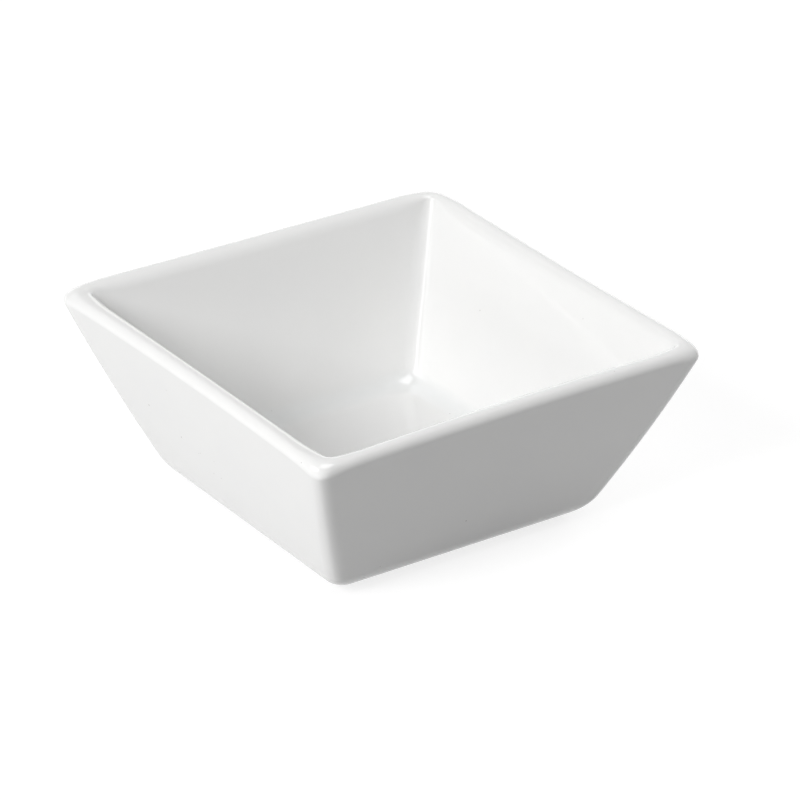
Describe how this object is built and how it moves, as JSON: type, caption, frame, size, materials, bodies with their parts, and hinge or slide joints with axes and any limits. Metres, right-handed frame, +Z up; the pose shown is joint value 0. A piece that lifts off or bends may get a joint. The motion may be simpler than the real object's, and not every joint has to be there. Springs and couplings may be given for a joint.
{
  "type": "tapas dish",
  "caption": "Square white porcelain dish with walls leaning outwards, a rounded rim, coved inside corners and a foot ring, for tapas, dips and condiments.",
  "frame": {"origin": "on the table, under the middle of the foot ring", "axes": "+Z up and out of the open top; X and Y square to the four walls"},
  "size_m": [0.1098, 0.1098, 0.0471],
  "materials": {
    "porcelain": "clear gloss glaze, bare on the foot ring"
  },
  "bodies": {
    "root": {"dish": "porcelain"}
  },
  "joints": []
}
